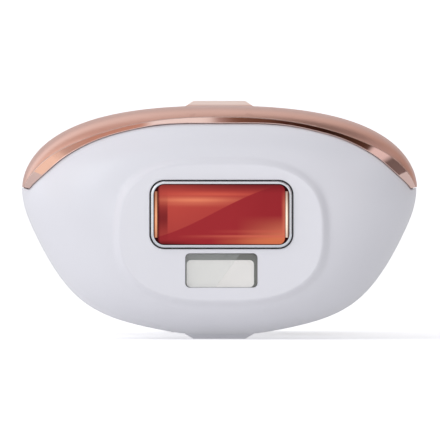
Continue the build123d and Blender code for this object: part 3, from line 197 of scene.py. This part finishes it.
def surface(
    name, colour, rough, metal=0.0, relief=0.010 * MM, smudge=0.06, worn=0.94, coat=0.0,
    edge=0.0, scuffed=0.25, edge_wear_and_highlight=(0.05, 0.4),
):
    """General finish: fine grain in relief, smudges in gloss, slow drift, small scuffs and lightened edges.

    smudge is how far the roughness varies, worn the colour left where the drift is darkest, edge the radius
    that sharp edges are rounded by, and the last how much edges lighten: wear when low, painted highlight
    when high.
    """
    g = Graph(name)
    drift = g.spread(g.noise(DRIFT_SCALE, 4), 0.0, 1.0)
    scuffs = g.spread(g.noise(SCUFF_SCALE, 6, SCUFF_STRETCH), 0.0, 1.0, 0.66, 0.74)
    tone = g.mix(drift, colour, darker(colour, worn))
    tone = g.mix(g.times(scuffs, scuffed), tone, darker(colour, SCUFF_SHADE))
    # The smudges use nearly the whole range of the noise, so that they have no hard borders.
    gloss = g.spread(g.noise(SMUDGE_SCALE, 1.5), rough - smudge, rough + smudge, 0.1, 0.9)
    gloss = g.math("ADD", gloss, g.times(scuffs, SCUFF_DULLING * scuffed), clamp=True)
    normal = None
    if edge:
        normal, on_edge = g.rounded(edge)
        # Lightened edges: wear when the last argument is low, a painted highlight when it is high, as on
        # the satin.
        bright = g.times(on_edge, g.spread(g.noise(EDGE_WEAR_AND_HIGHLIGHT_SCALE, 4), *edge_wear_and_highlight))
        tone = g.mix(bright, tone, tuple(c + (1 - c) * EDGE_LIGHTENING for c in colour))
        gloss = g.math("ADD", gloss, g.times(bright, EDGE_DULLING), clamp=True)
    g.link(tone, g.shader.inputs["Base Color"])
    g.link(gloss, g.shader.inputs["Roughness"])
    g.link(g.bump(g.noise(GRAIN_SCALE, 2), GRAIN_STRENGTH, relief, normal), g.shader.inputs["Normal"])
    g.shader.inputs["Metallic"].default_value = metal
    g.shader.inputs["Coat Weight"].default_value = coat
    g.shader.inputs["Coat Roughness"].default_value = COAT_ROUGHNESS
    return g


# ---------------------------------------------------------------- materials of the visible skin
def white_gloss():
    """Glossy white shell plastic under a thin coat, hardly scuffed."""
    g = surface(
        "white_gloss", srgb(240, 240, 246), 0.30, relief=0.003 * MM, smudge=0.04, worn=0.985, coat=0.2,
        edge=0.2 * MM, scuffed=0.06,
    )
    g.shader.inputs["Specular IOR Level"].default_value = 0.4
    return g.material


def rose_satin():
    """Satin metallic paint with a very fine fleck and painted highlights on its edges and upper pull-off
    ridge.
    """
    # The high edge setting paints a bright highlight along the satin's edges.
    g = surface(
        "rose_satin", srgb(216, 172, 158), 0.36, metal=0.8, relief=0.006 * MM, smudge=0.05, worn=0.95,
        edge=0.25 * MM, edge_wear_and_highlight=(0.5, 0.9),
    )
    fleck = g.spread(g.noise(22000, 1), 0.0, 0.12)
    base = g.mix(fleck, g.base_so_far(), srgb(255, 226, 214))
    # Painted highlight: the top of the ridge is painted paler, as if it caught the light.
    ridge = g.spread(g.axis("Z"), 0.0, 0.85, RIDGE_Z - 1.1 * MM, RIDGE_Z - 0.7 * MM)
    g.link(g.mix(ridge, base, srgb(255, 238, 230)), g.shader.inputs["Base Color"])
    return g.material


def rose_polished():
    """Mirror-bright bevel round the front face."""
    return surface(
        "rose_polished", srgb(236, 204, 194), 0.07, metal=1.0, relief=0.001 * MM, smudge=0.02, worn=0.97,
        edge=0.15 * MM,
    ).material


def button_rose():
    """The buttons: glossier than the satin cover and a little lighter."""
    return surface(
        "button_rose", srgb(226, 184, 170), 0.26, metal=0.75, relief=0.004 * MM, worn=0.95, edge=0.3 * MM
    ).material


def chrome():
    """Bright ring; its inner wall is painted dark, a painted reflection of the dark opening."""
    g = surface("chrome", srgb(226, 230, 236), 0.12, metal=1.0, relief=0.001 * MM, smudge=0.04)
    # Painted shade: the inner wall darkens towards the glass, in place of a reflection of the dark opening.
    painted_inner_shade = g.spread(g.axis("Y"), 0.0, 0.9, -0.95 * MM, -0.45 * MM)
    g.link(g.mix(painted_inner_shade, g.base_so_far(), srgb(40, 38, 42)), g.shader.inputs["Base Color"])
    return g.material


def soft_grey():
    """Overmould with fine ribs across its length."""
    g = surface("soft_grey", srgb(186, 184, 188), 0.62, relief=0.020 * MM, worn=0.9)
    wave = g.tree.nodes.new("ShaderNodeTexWave")
    wave.inputs["Scale"].default_value = 150
    wave.bands_direction = "Y"
    g.link(g.place, wave.inputs["Vector"])
    g.link(g.bump(wave.outputs["Fac"], 0.6, 0.25 * MM), g.shader.inputs["Normal"])
    return g.material


def glass_clip():
    """Curved end strip: a painted warm highlight, as from the lamp, down its middle, dark red sides, and a
    glow.
    """
    g = Graph("glass_clip")
    x, z = g.axis("X"), g.axis("Z")
    # Painted highlight down the middle of each strip, brightest at mid height and whiter on the right-hand
    # strip.
    across = g.bell(g.math("ABSOLUTE", x), 13.05 * MM, 0.24 * MM)
    along = g.bell(z, -0.8 * MM, 5.4 * MM)
    right = g.spread(x, 0.0, 1.0, -1 * MM, 1 * MM)
    warm_highlight = g.mix(right, srgb(250, 176, 130), srgb(255, 236, 214))
    colour = g.mix(g.times(across, along), srgb(96, 34, 28), warm_highlight)
    g.link(colour, g.shader.inputs["Base Color"])
    # Painted light: the strip glows though it is no lamp.
    g.glow(colour, 0.6)
    g.link(g.spread(g.noise(500, 3), 0.2, 0.3), g.shader.inputs["Roughness"])
    return g.material


def tube_mirror():
    """Silver mirror with a painted dark red reflection of the filter glass's edge near the front."""
    g = surface("tube_mirror", srgb(232, 230, 224), 0.08, metal=1.0, relief=0.001 * MM)
    # Painted reflection: dark red towards the front.
    front = g.spread(g.axis("Y"), 1.0, 0.0, 3.0 * MM, 5.0 * MM)
    g.link(g.mix(front, g.base_so_far(), srgb(52, 12, 14)), g.shader.inputs["Base Color"])
    return g.material


def clear_pane():
    """Thin clear pane with one painted slanting reflection."""
    g = Graph("clear_pane")
    x, z = g.axis("X"), g.axis("Z")
    line = g.math("SUBTRACT", g.times(x, 1.35), 12.9 * MM)
    # Painted reflection: lighter and less clear above a slanting line.
    above = g.spread(g.math("SUBTRACT", z, line), 0.0, 1.0, -0.06 * MM, 0.06 * MM)
    smear = g.spread(g.noise(120, 4), 0.02, 0.05)
    alpha = g.math("ADD", g.times(above, 0.10), smear)
    g.link(g.mix(above, srgb(215, 214, 210), srgb(236, 240, 238)), g.shader.inputs["Base Color"])
    g.link(alpha, g.shader.inputs["Alpha"])
    g.link(g.spread(g.noise(300, 3), 0.04, 0.1), g.shader.inputs["Roughness"])
    return g.material


def pale_tile():
    """Skin sensor's tile, with a faint painted glow that lifts it in the shade behind the pane; it is no
    lamp.
    """
    g = surface("pale_tile", srgb(240, 238, 234), 0.5, relief=0.004 * MM, worn=0.97)
    # Painted light: a faint glow.
    g.glow((1.0, 0.99, 0.97), 0.12)
    return g.material


def carrier_grey():
    """Plain grey plastic round the sensor tile."""
    return surface("carrier_grey", srgb(126, 128, 122), 0.5, relief=0.010 * MM, worn=0.9).material


def light_pipe():
    """Status lights, softly lit."""
    g = surface("light_pipe", srgb(236, 242, 246), 0.25, relief=0.003 * MM)
    g.glow(srgb(190, 226, 255), 0.5)
    return g.material


# ---------------------------------------------------------------- red filter glass painted with light and shade, lengths in mm
STREAKS = [  # painted light from the tube: height, half width, fades in from x, to x, strength, colour
    (-5.4, 0.75, -2.0, 10.0, 0.95, (222, 118, 78)),
    (-4.55, 0.22, -9.0, 4.0, 0.65, (220, 106, 86)),
    (-3.4, 0.4, -3.0, 8.0, 0.4, (214, 98, 80)),
]
BRIGHT_STREAKS = [  # the same in the slanting reflection: height, half width, middle x, half length, colour
    (2.75, 0.75, -5.5, 8.0, (236, 132, 100)),
    (4.1, 0.3, -2.0, 8.5, (214, 92, 74)),
]
SLANT_EDGE = (1.09, 0.515, -0.0023, -0.00067)  # height of the reflection's lower edge, cubic in x
# The glass gives off its painted colour as a glow, though it is no lamp.
GLASS_GLOW = 0.62
GLASS_OWN_COLOUR = 0.4  # share of the colour that the glass also reflects


def tube_behind(g, x, z, level):
    """Painted light and shade of the tube behind the glass: dark above, lit streaks low down and a warm lit
    right end.
    """
    # Painted shade: darker towards the top.
    colour = g.mix(g.spread(z, 0.0, 0.9, 4.2, 6.0), srgb(163, 42, 48), srgb(86, 8, 18))
    colour = g.mix(g.spread(x, 0.0, 0.5, 2, 9), colour, srgb(150, 32, 40))
    # Painted light: a warm lit end at the lower right.
    warm_end = g.times(g.spread(x, 0.0, 0.85, 3.0, 12.6), g.spread(z, 1.0, 0.0, -5.2, -0.2))
    colour = g.mix(warm_end, colour, srgb(236, 140, 102))
    # Painted light: a lit strip along the right edge, fading out towards the top.
    edge_glint = g.times(g.spread(x, 0.0, 0.6, 11.9, 12.5), g.spread(z, 1.0, 0.0, 2.0, 5.0))
    colour = g.mix(edge_glint, colour, srgb(222, 120, 92))
    for height, width, start, end, strength, tint in STREAKS:
        streak = g.times(g.bell(level, height, width), g.spread(x, 0.0, strength, start, end))
        colour = g.mix(streak, colour, srgb(*tint))
    # Painted shade in the lower left corner.
    corner = g.times(g.spread(z, 1.0, 0.0, -6.1, -5.0), g.spread(x, 0.9, 0.0, -11.0, -4.0))
    return g.mix(corner, colour, srgb(70, 8, 14))


def slanting_reflection(g, x, z, level, colour):
    """Covers the upper left; the tube's upper streaks show brightest in it."""
    slant = SLANT_EDGE[-1]
    for term in reversed(SLANT_EDGE[:-1]):
        slant = g.math("ADD", g.times(x, slant), term)
    inside = g.spread(g.math("SUBTRACT", z, slant), 0.0, 1.0, -0.07, 0.09)
    lit = g.mix(g.spread(x, 0.62, 0.2, -9.0, 10.0), colour, srgb(206, 84, 70))
    top_shade = g.times(g.spread(z, 0.0, 0.75, 4.6, 5.9), g.spread(x, 0.55, 1.0, -8.0, 6.0))
    lit = g.mix(top_shade, lit, srgb(112, 18, 32))
    for height, width, middle, length, tint in BRIGHT_STREAKS:
        streak = g.times(g.bell(level, height, width), g.bell(x, middle, length))
        lit = g.mix(streak, lit, srgb(*tint))
    low_shade = g.times(g.spread(z, 1.0, 0.0, -4.5, 1.0), 0.45)
    lit = g.mix(low_shade, lit, srgb(160, 52, 52))
    return g.mix(inside, colour, lit)


def shaded_borders(g, x, z, colour):
    """Left wall of the tube, seen through the glass, and the shaded rim to the left and below."""
    wall = g.times(g.spread(x, 1.0, 0.0, -10.85, -10.6), g.bell(z, -0.6, 2.9))
    colour = g.mix(g.times(wall, 0.8), colour, srgb(112, 22, 30))
    rim = g.math("MAXIMUM", g.spread(x, 0.8, 0.0, -12.6, -12.2), g.spread(z, 0.8, 0.0, -6.1, -5.85))
    return g.mix(rim, colour, srgb(70, 10, 14))


def filter_red():
    """Red filter glass with the tube's light painted in and given off as a glow: soft level bands and one
    slanting reflection.
    """
    g = Graph("filter_red")
    x, z = (g.math("DIVIDE", g.axis(name), MM) for name in "XZ")
    level = g.math("ADD", z, g.spread(g.noise(260, 2, (0.05, 1, 2.2)), -0.3, 0.3))
    colour = tube_behind(g, x, z, level)
    colour = slanting_reflection(g, x, z, level, colour)
    colour = shaded_borders(g, x, z, colour)
    g.link(g.mix(1 - GLASS_OWN_COLOUR, colour, (0, 0, 0)), g.shader.inputs["Base Color"])
    g.glow(colour, GLASS_GLOW)
    g.link(g.spread(g.noise(200, 3), 0.05, 0.09), g.shader.inputs["Roughness"])
    g.shader.inputs["Specular IOR Level"].default_value = 0.1
    return g.material


# ---------------------------------------------------------------- materials by slot
SIMPLE = {  # slot: display colour, roughness, metal, depth of the grain in mm
    "black_rubber": ((24, 24, 27), 0.45, 0.0, 0.006),
    "mirror_film": ((232, 230, 224), 0.08, 1.0, 0.001),
    "dark_plastic": ((44, 44, 47), 0.48, 0.0, 0.012),
    "grey_plastic": ((128, 130, 126), 0.50, 0.0, 0.012),
    "circuit_board": ((28, 92, 58), 0.42, 0.0, 0.020),
    "gold_contact": ((226, 186, 110), 0.22, 1.0, 0.003),
    "steel": ((186, 187, 190), 0.30, 1.0, 0.005),
    "spring_steel": ((170, 171, 175), 0.28, 1.0, 0.004),
    "nickel_magnet": ((202, 200, 192), 0.25, 1.0, 0.004),
    "quartz": ((236, 240, 244), 0.06, 0.0, 0.001),
    "aluminium_part": ((206, 208, 211), 0.32, 1.0, 0.010),
    "capacitor_sleeve": ((52, 58, 84), 0.30, 0.1, 0.005),
    "copper_winding": ((196, 118, 74), 0.35, 0.9, 0.030),
    "ferrite": ((62, 62, 65), 0.65, 0.2, 0.030),
    "wire_insulation": ((176, 48, 42), 0.45, 0.0, 0.008),
    "nylon": ((226, 222, 208), 0.45, 0.0, 0.010),
}
SPECIAL = {
    "white_shell": white_gloss,
    "rose_satin": rose_satin,
    "rose_polished": rose_polished,
    "button_rose": button_rose,
    "chrome_plate": chrome,
    "soft_grey": soft_grey,
    "red_glass": filter_red,
    "clear_glass": clear_pane,
    "pale_tile": pale_tile,
    "light_lens": light_pipe,
}
BY_NODE = {"glass_clips": glass_clip, "light_guide": tube_mirror, "sensor_carrier": carrier_grey}


def dress_frame():
    """Gives every CAD node the finish of its material slot."""
    made = {}
    for entry in frame["record"]["subparts"]:
        node, slot = entry["node"], entry["material_slot"]
        key = node if node in BY_NODE else slot
        if key not in made:
            if node in BY_NODE:
                made[key] = BY_NODE[node]()
            elif slot in SPECIAL:
                made[key] = SPECIAL[slot]()
            else:
                colour, rough, metal, relief = SIMPLE[slot]
                made[key] = surface(slot, srgb(*colour), rough, metal, relief=relief * MM).material
        mesh = frame["nodes"][node].data
        mesh.materials.clear()
        mesh.materials.append(made[key])


# ---------------------------------------------------------------- coil springs
RING_COIL = (0.95 * MM, 0.28 * MM, 5)  # radius to the middle of the wire, wire diameter, turns
FLASH_COIL = (1.35 * MM, 0.3 * MM, 3)
RING_SPRING_X, RING_SPRING_Z = 16.5 * MM, 3.0 * MM  # to each side of the glass's centre
FLASH_SPRINGS_Y = (66 * MM, 80 * MM)
TURN_STEPS, WIRE_SIDES = 28, 10


def add_mesh(name, verts, faces):
    """A smooth object made of the given points and faces."""
    mesh = bpy.data.meshes.new(name)
    mesh.from_pydata(verts, [], faces)
    mesh.shade_smooth()
    piece = bpy.data.objects.new(name, mesh)
    bpy.context.scene.collection.objects.link(piece)
    return piece


def coil_points(centre, axis, low, high, radius, wire, turns):
    """Points round the wire of one coil, ring after ring from its low end to its high end."""
    across = Vector((1, 0, 0))
    third = axis.cross(across)
    rise = axis * (high - low) / (2 * math.pi * turns)
    steps = TURN_STEPS * turns
    points = []
    for step in range(steps + 1):
        turn = 2 * math.pi * step / TURN_STEPS
        outward = across * math.cos(turn) + third * math.sin(turn)
        heading = (third * math.cos(turn) - across * math.sin(turn)) * radius + rise
        side = heading.cross(outward).normalized()
        middle = centre + outward * radius + axis * (low + (high - low) * step / steps)
        for i in range(WIRE_SIDES):
            angle = 2 * math.pi * i / WIRE_SIDES
            points.append(middle + (outward * math.cos(angle) + side * math.sin(angle)) * wire / 2)
    return points


def wire_faces(first, last):
    """Faces of one closed wire; first and last are the first points of its two end rings."""
    faces = []
    for a in range(first, last, WIRE_SIDES):
        b = a + WIRE_SIDES
        for i in range(WIRE_SIDES):
            j = (i + 1) % WIRE_SIDES
            faces.append((a + i, a + j, b + j, b + i))
    faces.append(tuple(first + i for i in reversed(range(WIRE_SIDES))))
    faces.append(tuple(last + i for i in range(WIRE_SIDES)))
    return faces


def coil_springs(name, node, body, centres, axis, coil):
    """Coils in place of a CAD node, as long as it is at rest."""
    radius, wire, turns = coil
    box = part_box(node)
    low, high = (corner.dot(axis) for corner in box)
    verts, faces = [], []
    for centre in centres:
        first = len(verts)
        verts += coil_points(centre, axis, low + wire / 2, high - wire / 2, radius, wire, turns)
        faces += wire_faces(first, len(verts) - WIRE_SIDES)
    springs = add_mesh(name, verts, faces)
    springs.data.materials.append(frame["nodes"][node].data.materials[0])
    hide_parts(node)
    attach(springs, body)
    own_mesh(springs)


def build_springs():
    """Ring springs, pressed from the front, and flash springs, pressed from above."""
    sides = (-1, 1)
    corners = [Vector((i * RING_SPRING_X, 0, j * RING_SPRING_Z)) for i in sides for j in sides]
    coil_springs(
        "ring_spring_coils", "ring_springs", "head", corners, Vector((0, 1, 0)),
        RING_COIL,
    )
    row = [Vector((0, y, 0)) for y in FLASH_SPRINGS_Y]
    coil_springs(
        "flash_spring_coils", "flash_springs", "handle", row, Vector((0, 0, 1)),
        FLASH_COIL,
    )


# ---------------------------------------------------------------- floor
FLOOR_HALF_WIDTH, FLOOR_FRONT, BEND_START, WALL_TOP = 4.0, -4.0, 2.5, 4.0
BEND_RADIUS, BEND_STEPS = 1.2, 12
FLOOR_GLOW = 0.24  # lifts the underside of the object a little
FLOOR_GLOW_SEEN = 0.16  # added where the camera sees the floor itself


def floor_paper():
    """Pale matt paper; the camera sees it paler than the object does."""
    g = Graph("floor_paper")
    g.shader.inputs["Roughness"].default_value = 0.9
    seen = g.tree.nodes.new("ShaderNodeLightPath").outputs["Is Camera Ray"]
    g.glow((1, 1, 1), 1.0)
    g.link(g.math("ADD", g.times(seen, FLOOR_GLOW_SEEN), FLOOR_GLOW), g.shader.inputs["Emission Strength"])
    paper = g.mix(g.spread(g.noise(3, 3), 0, 1), srgb(250, 250, 251), srgb(247, 247, 249))
    g.link(g.mix(seen, (0.6, 0.6, 0.61), paper), g.shader.inputs["Base Color"])
    return g.material


def build_floor():
    """Seamless pale floor that curves up into a back wall."""
    profile = [(FLOOR_FRONT, 0.0)]
    for i in range(BEND_STEPS + 1):
        a = math.radians(90 * i / BEND_STEPS)
        profile.append((BEND_START + BEND_RADIUS * math.sin(a), BEND_RADIUS * (1 - math.cos(a))))
    profile.append((BEND_START + BEND_RADIUS, WALL_TOP))
    verts = [(x, y, REST_Z + z) for y, z in profile for x in (-FLOOR_HALF_WIDTH, FLOOR_HALF_WIDTH)]
    faces = [(2 * i, 2 * i + 1, 2 * i + 3, 2 * i + 2) for i in range(len(profile) - 1)]
    floor = add_mesh("floor", verts, faces)
    floor.data.materials.append(floor_paper())


# ---------------------------------------------------------------- light
KEY_PLACE, KEY_AIM, KEY_SIZE = (-1.3, -1.3, 1.0), (0, 0.03, 0), (0.9, 0.9)
KEY_POWER, KEY_TINT = 3.0, (0.97, 0.98, 1.0)
SHEEN_DIRECTION, SHEEN_DISTANCE, SHEEN_SIZE = (0, -1, 0.02), 2.8, (2.6, 0.5)
SHEEN_RADIANCE = 3.5

# Places below are parts of a direction of length 1, as the world shader sees it.
SURROUND_LEVEL, SURROUND_LEAST = 0.705, 0.12
SURROUND_SLOPE = (-0.50, -0.07, 0.08)  # change of the level along x, y and z
SURROUND_TINT = (0.985, 0.985, 1.01)
ROOM_LEFT, ROOM_RIGHT = (1.36, 1.50, 1.58), (0.60, 0.46, 0.39)
ROOM_SPAN = 0.7  # x to each side over which the room goes from its left tint to its right one
ARC_FRONT, ARC_BACK, ARC_FOOT = (-0.66, -0.5), (-0.05, 0.1), (-0.5, -0.4)  # soft borders in y, y and z
CARD_SWEEP = 120  # degrees to each side of straight up that the arc of cards covers
CARDS = [  # angle round the view axis from straight up, tint of the card that the bevel mirrors there
    (-112, (1.05, 0.88, 0.74)),
    (-56, (1.05, 0.86, 0.72)),
    (-41, (0.62, 0.47, 0.41)),
    (-27, (0.61, 0.37, 0.29)),
    (-10.5, (0.61, 0.37, 0.29)),
    (-8, (1.0, 1.02, 1.04)),
    (-1, (1.0, 1.0, 1.0)),
    (0.8, (0.49, 0.37, 0.35)),
    (3.5, (0.22, 0.115, 0.08)),
    (9, (0.069, 0.025, 0.017)),
    (19, (0.03, 0.012, 0.008)),
    (33, (0.07, 0.035, 0.023)),
    (39.5, (0.1, 0.05, 0.035)),
    (42, (0.88, 0.79, 0.80)),
    (54, (0.86, 0.76, 0.77)),
    (61, (0.19, 0.155, 0.15)),
    (112, (0.25, 0.2, 0.2)),
]


def area_light(name, place, target, size, power, colour=(1, 1, 1)):
    light = bpy.data.lights.new(name, "AREA")
    light.shape = "RECTANGLE"
    light.size, light.size_y = size
    light.energy = power
    light.color = colour
    lamp = bpy.data.objects.new(name, light)
    bpy.context.scene.collection.objects.link(lamp)
    lamp.location = place
    lamp.rotation_euler = (Vector(target) - Vector(place)).to_track_quat("-Z", "Y").to_euler()
    return lamp


def sheen_light():
    """A softbox that only shows as a soft reflection, on the white shell alone."""
    place = Vector(SHEEN_DIRECTION).normalized() * SHEEN_DISTANCE
    width, height = SHEEN_SIZE
    power = SHEEN_RADIANCE * math.pi * width * height
    light = area_light("sheen_front", place, (0, 0, 0), SHEEN_SIZE, power)
    light.visible_diffuse = False
    light.visible_camera = False
    light.visible_transmission = False
    receivers = bpy.data.collections.new("white_shell_only")
    receivers.objects.link(frame["nodes"]["head_shell"])
    light.light_linking.receiver_collection = receivers


def card_arc(g):
    """Tint of the card at each angle round the view axis."""
    turn = g.math("ARCTAN2", g.axis("X"), g.axis("Z"))
    cards = g.tree.nodes.new("ShaderNodeValToRGB")
    sweep = math.radians(CARD_SWEEP)
    g.link(g.spread(turn, 0.0, 1.0, -sweep, sweep), cards.inputs["Fac"])
    while len(cards.color_ramp.elements) < len(CARDS):
        cards.color_ramp.elements.new(1.0)
    for element, (degrees, tint) in zip(cards.color_ramp.elements, CARDS):
        element.position = 0.5 + 0.5 * degrees / CARD_SWEEP
        element.color = (*tint, 1.0)
    return cards.outputs["Color"]


def build_world():
    """Surround brighter to the left; reflections see a room instead, with an arc of cards in front."""
    world = bpy.data.worlds.new("studio")
    g = Graph("studio", world)
    level = g.math("MAXIMUM", g.tilted(SURROUND_SLOPE, SURROUND_LEVEL), SURROUND_LEAST)
    surround = g.mix(1.0, level, SURROUND_TINT, "MULTIPLY")

    front = g.spread(g.axis("Y"), 0.0, 1.0, *ARC_FRONT)
    back = g.spread(g.axis("Y"), 1.0, 0.0, *ARC_BACK)
    foot = g.spread(g.axis("Z"), 0.0, 1.0, *ARC_FOOT)
    on_arc = g.times(g.times(front, back), foot)
    room = g.mix(g.spread(g.axis("X"), 0.0, 1.0, -ROOM_SPAN, ROOM_SPAN), ROOM_LEFT, ROOM_RIGHT)
    mirrored = g.mix(on_arc, room, card_arc(g))

    glossy = g.tree.nodes.new("ShaderNodeLightPath").outputs["Is Glossy Ray"]
    g.link(g.mix(glossy, surround, mirrored), g.shader.inputs["Color"])
    g.shader.inputs["Strength"].default_value = 1.0
    bpy.context.scene.world = world


def build_light():
    area_light("key_left", KEY_PLACE, KEY_AIM, KEY_SIZE, KEY_POWER, KEY_TINT)
    sheen_light()
    build_world()


# ---------------------------------------------------------------- camera
CAMERA_DISTANCE = 2.0
CAMERA_X = -44.0 * MM  # a little to the left of the object, turned to look at the head
CAMERA_Z = -1.1 * MM
AIM_X = -0.1 * MM
VIEW_WIDTH = 88.0 * MM  # width of the picture at the depth of the head
VIEW_DEPTH = 8.0 * MM
SENSOR_WIDTH = 36.0  # of the camera, in mm as Blender has it


def build_camera():
    data = bpy.data.cameras.new("camera")
    data.sensor_width = SENSOR_WIDTH
    data.lens = SENSOR_WIDTH * (CAMERA_DISTANCE + VIEW_DEPTH) / VIEW_WIDTH
    data.clip_end = 20
    camera = bpy.data.objects.new("camera", data)
    bpy.context.scene.collection.objects.link(camera)
    camera.location = (CAMERA_X, -CAMERA_DISTANCE, CAMERA_Z)
    aim = Vector((AIM_X, VIEW_DEPTH, CAMERA_Z)) - camera.location
    camera.rotation_euler = aim.to_track_quat("-Z", "Y").to_euler()
    bpy.context.scene.camera = camera


dress_frame()
build_springs()
build_floor()
build_light()
build_camera()
bpy.context.scene.view_settings.view_transform = "Standard"
